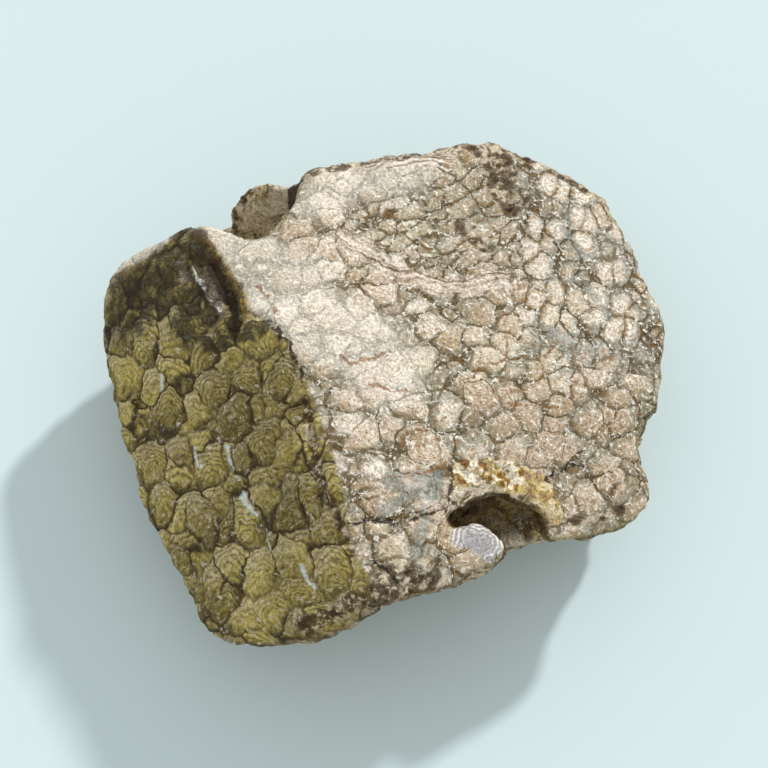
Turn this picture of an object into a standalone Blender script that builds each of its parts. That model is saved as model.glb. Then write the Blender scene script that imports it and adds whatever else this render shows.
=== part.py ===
"""A broken block of algal limestone: one natural piece, lying on its flattest side.

The block is about 104 mm across. Its crown is the large, nearly level fracture that cuts the algal
columns across, and the flank is the steeper fracture on the left that cuts them along. The two meet
in a ridge. Points are in millimetres, with +X to the right, +Y away from the viewer and +Z up.
"""

import bmesh
import bpy
from mathutils import Vector, noise

MM = 0.001
STONE = "algal_limestone"

# Corners of the whole block, before anything has broken away from it.
RIDGE = [
    (-35.5, 26, 37),
    (-27.5, 16, 40.5),
    (-33.5, 17.5, 38.5),
    (-28.5, 8, 41),
    (-21, 6.5, 43.5),
    (-14.5, -0.5, 45),
    (-13.5, -10, 45.3),
    (-10, -22, 44.6),
    (-5.5, -33.5, 42),
    (-1.5, -40.5, 39),
]
CROWN_RIM = [
    (-32, 27, 37),
    (-15, 35.5, 38.5),
    (-6, 39.5, 36.5),
    (5, 43, 34.5),
    (19.5, 46.5, 31.5),
    (30, 42, 29.5),
    (40, 38, 27.5),
    (44.5, 29.5, 27),
    (49, 18.5, 26.5),
    (51.5, 10.5, 26),
    (50, 2.5, 25.5),
    (48.5, -4.5, 25),
    (48, -17.4, 22.5),
    (47.9, -20.8, 22),
    (44.4, -24.4, 21.7),
    (38.6, -27, 21.5),
    (34, -27.5, 22),
    (27.5, -29, 22.5),
    (21.5, -31, 23),
    (17, -35.5, 25),
    (6, -40.5, 31.5),
    (1, -43, 35),
]
FLANK_FOOT = [
    (-3.5, -44.5, 32),
    (-7.5, -46.5, 29),
    (-13, -47.5, 25),
    (-21.5, -47.8, 20),
    (-27.8, -46.6, 19),
    (-31.7, -43.4, 18.8),
    (-35.2, -37.6, 18.6),
    (-39.2, -30.8, 17.8),
    (-41.3, -26.8, 17.3),
    (-42.9, -23.4, 17),
    (-45.4, -18, 17),
    (-46.9, -11.8, 17.5),
    (-48.8, -5.8, 18),
    (-50.2, 0, 18),
    (-51.2, 6.2, 18.5),
    (-51.9, 13, 20.5),
]
# The flank's upper edge, and the narrow lit slope beyond it.
SHOULDER = [
    (-51.9, 20, 22),
    (-51.1, 20.8, 24.3),
    (-49.8, 21.4, 26),
    (-46.5, 21.6, 29.3),
    (-42.9, 21.8, 32.6),
    (-39.6, 22.7, 35.2),
    (-38.3, 23.3, 36),
    (-50.7, 23.3, 22.6),
    (-48.7, 24.9, 24.5),
    (-46, 25.9, 27),
    (-43.5, 25.8, 29.8),
    (-41.1, 25.7, 32.4),
    (-38.7, 25.7, 34.6),
    (-36.6, 25.9, 36.3),
]
BACK_CORNERS = [
    (-29, 31.5, 22),
    (-16, 40.5, 20),
    (3, 45, 18),
    (20, 49, 16),
    (34, 44.5, 14),
    (43.5, 34.5, 13),
    (47.5, 16.5, 12),
    (48, 2.5, 12),
    (45.5, -12, 14),
    (39.5, -21.5, 13),
]
BASE_CORNERS = [
    (-43, 2.5, 0),
    (-39, -11.5, 0),
    (-31.5, -25.5, 0),
    (-24, -33, 0),
    (-12, -33.5, 0),
    (3, -28.5, 0),
    (18, -20.5, 0),
    (33.5, -15, 0),
    (42, -13.5, 0),
    (45.5, -1.5, 0),
    (46.5, 17, 0),
    (42.5, 34, 0),
    (35, 42, 0),
    (19, 45, 0),
    (-1, 43, 0),
    (-18.5, 38, 0),
    (-34, 28, 0),
    (-42.5, 17, 0),
]

# What has broken away. Each break is the outline of its floor, and the way from there out of the stone.
FLANK_SCAR = [
    (-61, 5, 10),
    (-50, 5, 19),
    (-42.5, 6.5, 25.5),
    (-34, 7, 32.5),
    (-30, 6, 35.5),
    (-25.5, 5.5, 38.5),
    (-22.5, 4, 41),
    (-19, 2.5, 43),
    (-14, -2.5, 45),
    (-6.5, -5, 50.5),
    (7.5, -51.5, 46.5),
    (-14.5, -60.5, 26),
    (-42.5, -50, 7.5),
    (-61, -25.5, 0.5),
]
FLANK_OUT = (-15, -6, 19)
# The dark scar from the peak of the ridge down to the groove.
PEAK_SCAR = [
    (-35.6, 25, 37),
    (-33.7, 23.6, 37.5),
    (-31.9, 22, 38),
    (-30.4, 19.5, 38.7),
    (-37.5, 20, 34),
    (-35, 15, 35.2),
    (-33, 16, 35.5),
    (-35.6, 25, 50),
    (-33.7, 23.6, 50),
    (-31.9, 22, 50),
    (-30.4, 19.5, 50),
    (-37.5, 20, 50),
    (-35, 15, 50),
    (-33, 16, 50),
]
RIDGE_GROOVE = [
    (-33, 21, 36),
    (-32.5, 19.5, 35.5),
    (-31, 15, 36),
    (-29, 10, 37),
    (-27.5, 5, 37.5),
    (-33, 21, 50),
    (-32.5, 19.5, 50),
    (-31, 15, 50),
    (-29, 10, 50),
    (-27.5, 5, 50),
    (-30.5, 20.5, 40),
    (-27.5, 16, 40.5),
    (-26.5, 10.5, 41.5),
    (-25, 5, 42.5),
    (-24.5, 2.5, 43),
    (-30.5, 20.5, 50),
    (-27.5, 16, 50),
    (-26.5, 10.5, 50),
    (-25, 5, 50),
    (-24.5, 2.5, 50),
]
GULLY = [
    (-15, 41, 24),
    (-15.5, 31.5, 24),
    (-17.5, 28.5, 24),
    (-19.5, 26, 23),
    (-21, 23.5, 22),
    (-24, 23.5, 21),
    (-26.5, 24.5, 20),
    (-31.5, 26.5, 20),
    (-34.5, 27, 20),
    (-40.5, 34, 18),
    (-28.5, 48.5, 16),
]
FRONT_BITE = [
    (-10, -42, 5),
    (-7.5, -37, 5),
    (-3.5, -33.5, 5),
    (1, -31, 5),
    (6, -30, 5),
    (11.5, -28.5, 5),
    (17, -27, 5),
    (19.5, -25.5, 5),
    (21.5, -23.5, 5),
    (26, -22, 5),
    (28.5, -20.5, 5),
    (34, -21, 5),
    (38, -22, 5),
    (38, -45, 5),
    (-10, -55, 5),
]
RIGHT_BITE = [
    (49, -3.5, 8),
    (47, -6.5, 8),
    (45.5, -9.5, 8),
    (46, -13, 8),
    (47, -16.5, 8),
    (54, -11.5, 8),
]
UP = (0, 0, 30)
FRONT_OUT = (0, -16, 40)
# The hollow between two algal heads, its floor drawn in under the back rim and open to the front.
HOLLOW = [
    (10, -26, 27.5),
    (12, -24, 27),
    (15, -22, 26),
    (18, -20.5, 25),
    (21, -19.5, 24),
    (24.5, -21, 22.5),
    (28, -21, 20.5),
    (28.5, -24.5, 19),
    (28.5, -37, 17),
    (21.5, -37, 19),
    (21.5, -27.5, 22),
    (19.5, -26.5, 23),
    (16.5, -25, 25),
    (13, -26, 26.5),
]
HOLLOW_OUT = (-1, -5.5, 15)
# What stands proud: the lump left in the gully behind the ridge.
BACK_LUMP = [
    (-29, 34.5, 28),
    (-27.5, 36, 29),
    (-26, 37, 30.5),
    (-22.5, 37.5, 32),
    (-18, 37, 34),
    (-15.5, 37, 35),
    (-29, 31.5, 20),
    (-25, 29.5, 20),
    (-21, 28.5, 22),
    (-18.5, 31.5, 28),
    (-15.5, 34, 32),
    (-15.5, 36.5, 20),
]

# The two fresh fractures are smoothed to gentle curves. The other sides stay hackly.
CROWN_FACING = (0.2, 0.03, 0.98)
FLANK_FACING = (-0.62, -0.22, 0.75)
FRESH_WITHIN = 0.87
SOFTEN_ROUNDS = 40
VOXEL = 0.9 * MM
# The shallow bowl in the crown, its centre, its half widths and its depth.
BOWL_AT = (11, 29)
BOWL_HALF = (23, 13)
BOWL_DEPTH = 1.6
# The crown is higher by this much to the right of a line down from the back rim.
STEP_LINE = ((27, 43), (24, 33), (15.5, 23.5))
STEP_UP = 1.1
BASE_TRIM = 0.3 * MM
MOST_TRIANGLES = 8600
# The finish of a freshly broken, unpolished limestone.
STONE_COLOUR = (0.45, 0.4, 0.3, 1)
STONE_ROUGHNESS = 0.85


def clear_scene():
    for old in list(bpy.data.objects):
        bpy.data.objects.remove(old, do_unlink=True)


def new_collection(name):
    made = bpy.data.collections.new(name)
    bpy.context.scene.collection.children.link(made)
    return made


def object_from(bm, name, collection):
    bmesh.ops.recalc_face_normals(bm, faces=bm.faces)
    mesh = bpy.data.meshes.new(name)
    bm.to_mesh(mesh)
    bm.free()
    made = bpy.data.objects.new(name, mesh)
    collection.objects.link(made)
    return made


def stone_material():
    made = bpy.data.materials.new(STONE)
    made.use_nodes = True
    surface = made.node_tree.nodes["Principled BSDF"]
    surface.inputs["Base Color"].default_value = STONE_COLOUR
    surface.inputs["Roughness"].default_value = STONE_ROUGHNESS
    return made


def hull_of(name, corners, collection):
    """The convex solid round these corner points."""
    bm = bmesh.new()
    for corner in corners:
        bm.verts.new(Vector(corner) * MM)
    made = bmesh.ops.convex_hull(bm, input=bm.verts)
    inside = [g for g in made["geom_interior"] if isinstance(g, bmesh.types.BMVert)]
    bmesh.ops.delete(bm, geom=inside, context="VERTS")
    return object_from(bm, name, collection)


def prism_of(name, floor, way_out, collection):
    """The solid that this floor sweeps through on its way out."""
    bm = bmesh.new()
    outline = bm.faces.new([bm.verts.new(Vector(corner) * MM) for corner in floor])
    grown = bmesh.ops.extrude_face_region(bm, geom=[outline])
    raised = [g for g in grown["geom"] if isinstance(g, bmesh.types.BMVert)]
    bmesh.ops.translate(bm, verts=raised, vec=Vector(way_out) * MM)
    if outline not in bm.faces:
        bm.faces.new([v for v in bm.verts if v not in raised])
    bmesh.ops.triangulate(bm, faces=bm.faces)
    return object_from(bm, name, collection)


def combine(stone, tool, operation):
    """Adds or takes away another solid, by a Boolean on the stone."""
    tool.hide_render = True
    tool.display_type = "WIRE"
    step = stone.modifiers.new(tool.name, "BOOLEAN")
    step.operation = operation
    step.object = tool
    step.solver = "EXACT"


def settle(stone):
    """Makes the modified shape the stone's own mesh."""
    bpy.context.view_layer.update()
    graph = bpy.context.evaluated_depsgraph_get()
    mesh = bpy.data.meshes.new_from_object(stone.evaluated_get(graph))
    stone.modifiers.clear()
    stone.data = mesh


def remesh(stone):
    """Even triangles all over, small enough for the weathering to move."""
    step = stone.modifiers.new("even_mesh", "REMESH")
    step.mode = "VOXEL"
    step.voxel_size = VOXEL
    settle(stone)


def smoothstep(low, high, value):
    """From 0 at low to 1 at high, with a smooth start and end."""
    share = min(max((value - low) / (high - low), 0), 1)
    return share * share * (3 - 2 * share)


def soften(bm, facing):
    """Takes the creases out of one fresh fracture, and leaves its edges where they are."""
    facing = Vector(facing).normalized()
    inner = [v for v in bm.verts if v.normal.dot(facing) > FRESH_WITHIN]
    for _ in range(SOFTEN_ROUNDS):
        bmesh.ops.smooth_vert(bm, verts=inner, factor=0.5, use_axis_x=True, use_axis_y=True, use_axis_z=True)
    bm.normal_update()


def step_relief(point):
    """Height of the step, in millimetres: it rises to the right of its line, and fades out past the line's end."""
    for first, last in zip(STEP_LINE, STEP_LINE[1:]):
        start = Vector(first)
        along = Vector(last) - start
        done = (point.xy - start).dot(along.normalized())
        if done <= along.length:
            break
    along_length = along.length
    along.normalize()
    right = (point.xy - start).dot(Vector((-along.y, along.x)))
    rise = smoothstep(-1.6, 1.6, right) * (1 - smoothstep(3, 14, right))
    return STEP_UP * rise * (1 - smoothstep(0, 8, done - along_length))


def crown_relief(point):
    """Height of the bowl and the step over the plain crown, in millimetres."""
    reach = Vector(((point.x - BOWL_AT[0]) / BOWL_HALF[0], (point.y - BOWL_AT[1]) / BOWL_HALF[1])).length
    return step_relief(point) - BOWL_DEPTH * (1 - smoothstep(0.2, 1, reach))


def roughness_at(point, fresh):
    """Weathering at a point, in millimetres: gentle on the fresh fractures, hackly on the old sides."""
    gentle = 0.45 * noise.noise(point / 7) + 0.3 * noise.noise(point / 2.6)
    lumps = 1.5 * noise.noise(point / 11) + 0.8 * noise.noise(point / 4.5)
    ledges = 1.1 * (0.5 - abs(noise.noise(Vector((point.x / 16, point.y / 16, point.z / 5)))) * 2)
    return gentle * fresh + (lumps + ledges) * (1 - fresh)


def weather(stone):
    bm = bmesh.new()
    bm.from_mesh(stone.data)
    bm.normal_update()
    soften(bm, CROWN_FACING)
    soften(bm, FLANK_FACING)
    crown = Vector(CROWN_FACING).normalized()
    flank = Vector(FLANK_FACING).normalized()
    moves = []
    for v in bm.verts:
        point = v.co / MM
        on_crown = v.normal.dot(crown)
        fresh = smoothstep(0.55, 0.85, max(on_crown, v.normal.dot(flank)))
        fresh = max(fresh, 0.5 * smoothstep(12, 20, point.z) * smoothstep(38, 30, point.y))
        move = roughness_at(point, fresh)
        if on_crown > 0.8:
            move += crown_relief(point)
        moves.append(v.normal * move * MM * smoothstep(0, 4, point.z))
    for v, move in zip(bm.verts, moves):
        v.co += move
    bm.to_mesh(stone.data)
    bm.free()


def thin_out(stone):
    """Keeps the shape with far fewer triangles."""
    stone.data.calc_loop_triangles()
    step = stone.modifiers.new("fewer", "DECIMATE")
    step.ratio = MOST_TRIANGLES / len(stone.data.loop_triangles)
    step.use_collapse_triangulate = True
    settle(stone)


def seat(stone):
    """Trims the underside flat, then sets it at zero height with the box's centre over the origin."""
    bm = bmesh.new()
    bm.from_mesh(stone.data)
    cut = bmesh.ops.bisect_plane(
        bm,
        geom=list(bm.verts) + list(bm.edges) + list(bm.faces),
        plane_co=(0, 0, BASE_TRIM),
        plane_no=(0, 0, 1),
        clear_inner=True,
    )
    rim = [g for g in cut["geom_cut"] if isinstance(g, bmesh.types.BMEdge)]
    bmesh.ops.contextual_create(bm, geom=rim)
    middle_x = (min(v.co.x for v in bm.verts) + max(v.co.x for v in bm.verts)) / 2
    middle_y = (min(v.co.y for v in bm.verts) + max(v.co.y for v in bm.verts)) / 2
    move = Vector((-middle_x, -middle_y, -BASE_TRIM))
    bmesh.ops.translate(bm, verts=bm.verts, vec=move)
    bmesh.ops.triangulate(bm, faces=bm.faces)
    bmesh.ops.recalc_face_normals(bm, faces=bm.faces)
    bm.to_mesh(stone.data)
    bm.free()
    return move


def main():
    clear_scene()
    stone_group = new_collection("fossil_algal_limestone")
    cutters = new_collection("cutters")
    stone = hull_of(STONE, RIDGE + CROWN_RIM + FLANK_FOOT + SHOULDER + BACK_CORNERS + BASE_CORNERS, stone_group)
    combine(stone, prism_of("flank_scar", FLANK_SCAR, FLANK_OUT, cutters), "DIFFERENCE")
    combine(stone, prism_of("gully", GULLY, UP, cutters), "DIFFERENCE")
    combine(stone, hull_of("back_lump", BACK_LUMP, cutters), "UNION")
    combine(stone, hull_of("peak_scar", PEAK_SCAR, cutters), "DIFFERENCE")
    combine(stone, hull_of("ridge_groove", RIDGE_GROOVE, cutters), "DIFFERENCE")
    combine(stone, prism_of("front_bite", FRONT_BITE, FRONT_OUT, cutters), "DIFFERENCE")
    combine(stone, prism_of("right_bite", RIGHT_BITE, UP, cutters), "DIFFERENCE")
    combine(stone, prism_of("hollow", HOLLOW, HOLLOW_OUT, cutters), "DIFFERENCE")
    settle(stone)
    remesh(stone)
    stone.data.materials.clear()
    stone.data.materials.append(stone_material())
    weather(stone)
    thin_out(stone)
    move = seat(stone)
    for tool in cutters.objects:
        tool.location = move


main()
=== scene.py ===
"""Looks of a broken block of fossil algal limestone: its fine relief, its stone, the floor, light and camera.

The block is one natural piece. The crown cuts the algal heads across, so they show as rounded cells
with fine rings. The flank cuts them along, so they show as nested domes. Tables give places in
millimetres as seen from above, with +X to the right and +Y away from the viewer.
"""

import math

import bmesh
import bpy
import numpy as np
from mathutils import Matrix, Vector, noise


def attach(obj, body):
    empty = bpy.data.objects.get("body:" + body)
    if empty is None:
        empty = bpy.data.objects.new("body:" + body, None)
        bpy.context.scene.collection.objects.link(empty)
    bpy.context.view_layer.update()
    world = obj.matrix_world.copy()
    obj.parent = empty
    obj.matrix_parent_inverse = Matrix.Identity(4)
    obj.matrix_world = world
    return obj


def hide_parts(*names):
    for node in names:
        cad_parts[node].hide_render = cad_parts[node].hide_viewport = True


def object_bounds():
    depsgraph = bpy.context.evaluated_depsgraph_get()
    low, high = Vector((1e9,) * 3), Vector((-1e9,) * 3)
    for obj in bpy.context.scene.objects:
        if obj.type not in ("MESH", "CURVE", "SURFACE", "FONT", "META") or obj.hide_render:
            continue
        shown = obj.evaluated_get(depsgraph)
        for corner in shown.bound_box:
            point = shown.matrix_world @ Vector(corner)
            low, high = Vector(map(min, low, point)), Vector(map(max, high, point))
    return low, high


bl_info = {
    "name": "Fossil algal limestone block",
    "version": (1, 0, 0),
    "blender": (4, 5, 0),
    "location": "3D View > Sidebar > Algal limestone",
    "description": "Makes the relief and stone of a fossil algal limestone block, and its studio stage",
    "category": "Object",
}

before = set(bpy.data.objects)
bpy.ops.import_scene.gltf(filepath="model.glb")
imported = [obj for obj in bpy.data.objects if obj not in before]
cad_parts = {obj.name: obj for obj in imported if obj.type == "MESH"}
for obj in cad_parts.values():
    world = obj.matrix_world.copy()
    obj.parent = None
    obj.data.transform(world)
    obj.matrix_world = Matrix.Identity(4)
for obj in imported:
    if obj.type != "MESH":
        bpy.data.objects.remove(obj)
CAD_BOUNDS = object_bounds()
NODE = "algal_limestone"
MM = 0.001

# The mesh is finer above this height.
FINE_ABOVE = 13 * MM
# The underside is flat. The relief starts at the first height, in millimetres, and is whole at the second.
BASE_FADE = (0.3, 3)
# The photo's camera: its height over the floor as an angle, and how far it is from the place that it looks at.
CAMERA_ELEVATION = math.radians(70)
CAMERA_DISTANCE = 0.384
CAMERA_AIM = Vector((0.27, -1.2, 26.7)) * MM
# Where the photo's main light comes from, and how wide it is.
LIGHT_FROM = Vector((0.482, 0.702, 0.524))
LIGHT_WIDTH = math.radians(4)
FLOOR_HALF = 1.5
# The way that each fresh fracture faces.
CROWN_FACING = Vector((0.2, 0.03, 0.98)).normalized()
FLANK_FACING = Vector((-0.62, -0.22, 0.75)).normalized()

# Marks on the stone. Each is a line of points, its half width in millimetres, and how soft its edge is.
MARKS = {
    # Painted light: places where the crown is made paler, beside the top of the ridge where it faces the light
    # most, and a painted highlight in its middle.
    "pale": [
        ([(-33, 25), (-27, 21), (-23.5, 14), (-20, 8)], 3.4, 3.0),
        ([(-24, 18), (-15, 14), (-14, 4)], 3.0, 5.0),
        ([(-11.7, 3), (-2.7, 1), (0.3, -4)], 4.5, 4.5),
        ([(-13, 30), (-5, 34.5), (5, 37)], 2.0, 4.0),
    ],
    # Layers that lie flat along the lower edge of the bowl and on the back rim.
    "layered": [
        ([(-6.7, 22), (-0.7, 17.6), (6.3, 14.3), (14.3, 13.7), (21.3, 15.7)], 0.9, 2.4),
        ([(-7.7, 37), (3.3, 39.6), (12, 41.5)], 0.8, 2.0),
    ],
    # Crumbled, brown edges and patches.
    "dark": [
        ([(18.5, 43.6), (21, 41.5), (22.5, 38.5)], 1.8, 1.8),
        ([(20.9, 35.5), (23, 33), (23.5, 31)], 0.8, 1.6),
        ([(13.9, 28.3), (15.8, 24.6), (18.5, 22)], 0.0, 1.6),
        ([(-15, 34.5), (-9.5, 36.8), (-4, 38.2), (3, 40.5), (12.5, 43.2), (19.6, 45)], 0.2, 1.1),
        ([(19.6, 45), (27.3, 42), (33.8, 39), (40, 35.5)], 0.3, 1.2),
        ([(-12.7, -45.9), (-4.7, -43.4), (2.3, -41.9), (8.3, -38.9)], 0.6, 1.6),
        ([(0.3, -39.4), (9.3, -36.9)], 0.4, 1.4),
        ([(-13.5, -10), (-12.5, -15), (-11, -22), (-7.5, -31), (-5, -36)], 0.15, 1.0),
        ([(29.3, -27.7), (36.3, -26.4), (42.3, -23.9)], 0.1, 1.0),
        ([(-27.5, 30), (-26.8, 34), (-25, 36)], 0.5, 1.5),
    ],
    # Painted light: cream patches that make the lump behind the ridge lighter, as if the light reached it.
    "lump": [
        ([(-24.6, 31.6), (-20.5, 31), (-18, 33.5)], 1.4, 2.0),
    ],
    # Near-black blotches on the top of the flank, laid over painted shade that darkens it; the last line is
    # painted shade under the ledge.
    "soot_and_shade": [
        ([(-46, 14), (-40, 17), (-35, 16), (-30, 9)], 2.6, 6.0),
        ([(-35.5, 23.5), (-33, 20), (-32.5, 16), (-35, 8)], 1.6, 3.0),
        ([(-31, 3.5), (-25, 3.5), (-21, 3)], 0.3, 1.8),
    ],
    # Blue-grey chalcedony that fills the gaps.
    "chalcedony": [
        ([(1.5, -23.6), (9.6, -21.9), (9, -24.6), (4.8, -25.1)], 0.9, 1.2),
        ([(3.7, -26.1), (-0.2, -29.2)], 0.3, 1.2),
        ([(32.9, 28.1), (35.3, 25.1), (36.7, 22.8)], 0.1, 1.4),
        ([(37.2, 17), (40.9, 11)], 0.1, 1.4),
        ([(30.7, 7), (33.9, 4.1)], 0.5, 1.6),
        ([(7.3, -28.9), (5.8, -34.9), (6.8, -36.9)], 0.2, 1.6),
    ],
    # Cream and yellow crystals on the rim of the hollow.
    "crystal": [
        ([(13.5, -21.8), (15.8, -20.4), (19.3, -19.8), (22.3, -20.3)], 1.5, 1.4),
    ],
    # Yellow crystals, further right on the same rim.
    "honey": [
        ([(21, -21.4), (24.8, -21), (28, -22.2)], 1.9, 0.9),
        ([(28.9, -23), (30.2, -26.2)], 1.0, 1.2),
    ],
}
# The bowl in the crown: its middle and half widths, seen from above, and the middle of the layers on its edge.
BOWL_AT = (11, 27)
BOWL_HALF = (20, 13)
BOWL_LAYERS_AT = (11, 31, 36)
# The banded nodule's middle and half widths, seen from above, and the middle of its bands.
NODULE_AT = (16.3, -32.6)
NODULE_HALF = (5.4, 4.3)
NODULE_BANDS_AT = (*NODULE_AT, 32)
# The hollow: its reach across, and the plane of the crown over it (height, fall to the right).
HOLLOW_REACH = ((9.8, 29.8), (-35.9, -19.9))
HOLLOW_PLANE = (38.9, 0.28)
HOLLOW_DEPTH = 9.5
# The front edge of the back rim beside the flank. The rim is made pale, partly as painted light.
RIM = ((-50, -46.6, -43, -39.8, -37.9, -36.8, -36), (20.3, 20.8, 21.2, 21.6, 22.8, 25.4, 30))
# Heads whose layers show best, cut through the middle, with their reach in millimetres.
EYES = [(29.4, -14, 31.3), (17.1, -6.5, 36.4), (2.3, -3.5, 40.2), (7.2, -17.2, 38.5), (12.2, -31.5, 35)]
EYE_REACH = 3.2
# Recesses and raised places of the relief: points, half width and height in millimetres.
RELIEF = [
    ([(-45.8, -2.5), (-41.6, -4.9), (-36.7, -7.3), (-31, -9.8)], 0.8, -0.8),
    ([(-31, -9.8), (-25.6, -11.4), (-19.7, -13.3), (-16.6, -14.9)], 0.8, -0.8),
    ([(-20.1, -8.9), (-14.1, -11.2)], 0.5, -0.9),
    ([(-17, -36.5), (-11.1, -37.6)], 0.35, -0.4),
    ([(-5.5, -31.1), (-1.2, -30.8), (2.2, -30.3)], 0.3, -0.5),
    ([(11, -21.3), (11.3, -22.8), (10.9, -26.6), (10.4, -28.2)], 0.4, -0.6),
    ([(28.4, -21), (30, -19.6), (32.6, -17.9), (35.3, -17.1)], 0.35, -0.5),
    ([(-1.2, -38), (2.5, -41.2)], 0.35, -0.5),
    ([(3.5, -31.3), (9.9, -27.7), (16, -24)], 0.4, -0.45),
    ([(-14.1, -14.9), (-13.9, -18.4)], 1.2, 0.7),
    ([(-15.9, -14.4), (-15.7, -18.9)], 0.55, -0.6),
    ([(-12.2, -13.7), (-11.9, -18.4)], 0.55, -0.6),
    ([(-25.7, 5.4), (-21.2, 5.6), (-16.2, 1.1)], 0.5, -0.4),
    ([(-30.5, 18), (-27.8, 13), (-26.6, 8.5), (-25.6, 4.5)], 0.9, -1.0),
    ([(-34.2, 17.9), (-31.4, 12.2), (-29.2, 7.3)], 0.6, 0.7),
]
# Lines that the stone's material draws, each with its half width: dark cracks, two of them painted shadow, rusty
# ones and white calcite.
CRACKS_AND_SHADOWS = [
    ([(-5.5, -31.2), (-1.2, -30.8), (2.2, -30.3)], 0.1),
    ([(11.2, -20.5), (11.4, -23.1), (10.9, -26.3), (10.3, -28.3)], 0.0),
    ([(28.4, -21), (30, -19.6), (32.6, -17.9), (35.3, -17.1)], -0.15),
    ([(-1.2, -38), (2.5, -41.2)], 0.12),
    ([(3.5, -31.3), (9.9, -27.7), (16, -24)], -0.15),
    # Painted shade in the groove beside the top of the ridge.
    ([(-30.4, 16.6), (-28.4, 13.2), (-26.9, 9.4), (-25.6, 4.5)], 0.7),
    ([(-25.6, 4.8), (-21.2, 5.1), (-15.7, 0.1), (-13.6, -6.9)], 0.05),
    ([(-31.9, 11.5), (-29.6, 7.2)], 0.1),
    # Painted shadow that the crown's edge casts beside the lump behind the ridge.
    ([(-16, 34.5), (-17.5, 30), (-19.8, 25)], 0.7),
]
RUSTS = [
    ([(-33.6, 24), (-29.2, 18.2), (-26.6, 14.2), (-25.2, 9.4), (-24.2, 4.8)], 0.0),
    ([(-22.6, 13), (-20.2, 8), (-19, 4)], 0.0),
    ([(21.3, -7.7), (31.1, -7.3)], 0.0),
    ([(21.4, -7.7), (21.8, -5.3), (24.9, -5.3), (28.6, -1.8), (29.7, 4.1)], 0.0),
    ([(13.8, -4.4), (21.9, 1.3), (22.5, 5.5)], 0.0),
    ([(-7.3, -1.5), (-4.9, -2.4), (-1.8, -2.2), (0.8, 0.4)], 0.05),
    ([(-2.5, -6.7), (0.3, -7.2), (5.3, -6.9)], 0.0),
    ([(4.4, -15.4), (7.9, -13.1), (11.1, -11)], 0.0),
    ([(1.8, -23.1), (6.3, -22.1), (11.3, -20.3)], 0.0),
]
VEINS = [
    ([(-33.5, -13.1), (-32.7, -16.2)], -0.1),
    ([(-27.6, -14.2), (-26.5, -17.2)], 0.0),
    ([(-26.5, -17.2), (-25.1, -20.5)], -0.25),
    ([(-24, -23.4), (-22.6, -25.6)], 0.3),
    ([(-22.6, -25.6), (-21.4, -27.2)], -0.1),
    ([(-19.9, -29.5), (-19.4, -33.5)], -0.2),
    ([(-13.9, -37), (-12, -40.9)], 0.05),
    ([(-40.2, 0.9), (-39.7, -1.5)], -0.1),
    ([(-33.8, 17.2), (-31.2, 12), (-29, 7.3)], -0.2),
]


def linear(code):
    """Linear red, green and blue of an sRGB hex colour."""
    shares = [int(code[start : start + 2], 16) / 255 for start in (1, 3, 5)]
    return tuple(s / 12.92 if s <= 0.04045 else ((s + 0.055) / 1.055) ** 2.4 for s in shares)


def colour_property(name, description, code):
    return bpy.props.FloatVectorProperty(
        name=name, description=description, default=linear(code), subtype="COLOR", size=3, min=0, max=1
    )


def length_property(name, description, default):
    return bpy.props.FloatProperty(
        name=name, description=description, default=default, unit="LENGTH", min=0.00005, max=0.05, precision=5
    )


class StoneSizes(bpy.types.PropertyGroup):
    base_mesh: length_property("Mesh", "Width of a mesh face on the sides that lie away from the light", 0.9 * MM)
    crown_head: length_property("Crown heads", "Width of an algal head where it is cut across", 5.6 * MM)
    flank_head: length_property("Flank heads", "Width of an algal head where it is cut along", 6.6 * MM)
    crown_layer: length_property("Crown layers", "Thickness of a growth layer in the crown", 0.55 * MM)
    flank_layer: length_property("Flank layers", "Thickness of a growth layer in the flank", 0.85 * MM)
    roughness: bpy.props.FloatProperty(
        name="Relief", description="How strong the fine relief is", default=1, subtype="FACTOR", min=0, max=3
    )


class StoneColours(bpy.types.PropertyGroup):
    # White and cream also paint the highlights on the heads, and tan and umber their painted shade.
    white: colour_property("White", "The palest heads and flecks", "#F8F2E4")
    cream: colour_property("Cream", "The pale limestone of the crown", "#D8CBB0")
    pink: colour_property("Pink", "The pinkish limestone of the crown", "#D0BDAA")
    tan: colour_property("Tan", "The darker side of the heads of the crown", "#98855F")
    seam: colour_property("Seam", "The dark seams between the heads of the crown", "#4E4020")
    layer: colour_property("Layer", "The thin red-brown layers of the crown", "#8C6636")
    matrix: colour_property("Matrix", "The grey stone between the heads", "#86836E")
    olive: colour_property("Olive", "The limestone of the flank", "#C2B160")
    umber: colour_property("Umber", "The darker layers of the flank", "#584A1E")
    flank_seam: colour_property("Flank seam", "The dark seams between the heads of the flank", "#33260C")
    rust: colour_property("Rust", "Iron stain in the cracks and in flecks", "#86561E")
    # Also the colour of painted shadow and shade in recesses.
    soot_and_shade: colour_property("Soot", "Near-black cracks and blotches", "#2A1D0E")
    chalcedony: colour_property("Chalcedony", "The blue-grey filling of the gaps", "#8E938C")
    calcite: colour_property("Calcite", "The white filling of the flank's cracks", "#DDE6DE")
    crystal: colour_property("Crystal", "The yellow crystals round the hollow", "#BBA258")
    agate: colour_property("Agate", "The grey heart of the banded nodule", "#A5A3A6")
    shade: colour_property("Shade", "The crumbled patches and the walls of the hollow", "#5A4322")


class StageSettings(bpy.types.PropertyGroup):
    floor: colour_property("Floor", "The pale card that the block lies on", "#D2E4E6")
    key: bpy.props.FloatProperty(
        name="Key light", description="Strength of the main light", default=2.35, min=0, max=20
    )
    fill: bpy.props.FloatProperty(
        name="Fill light", description="Strength of the light from all round", default=0.71, min=0, max=5
    )


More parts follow.
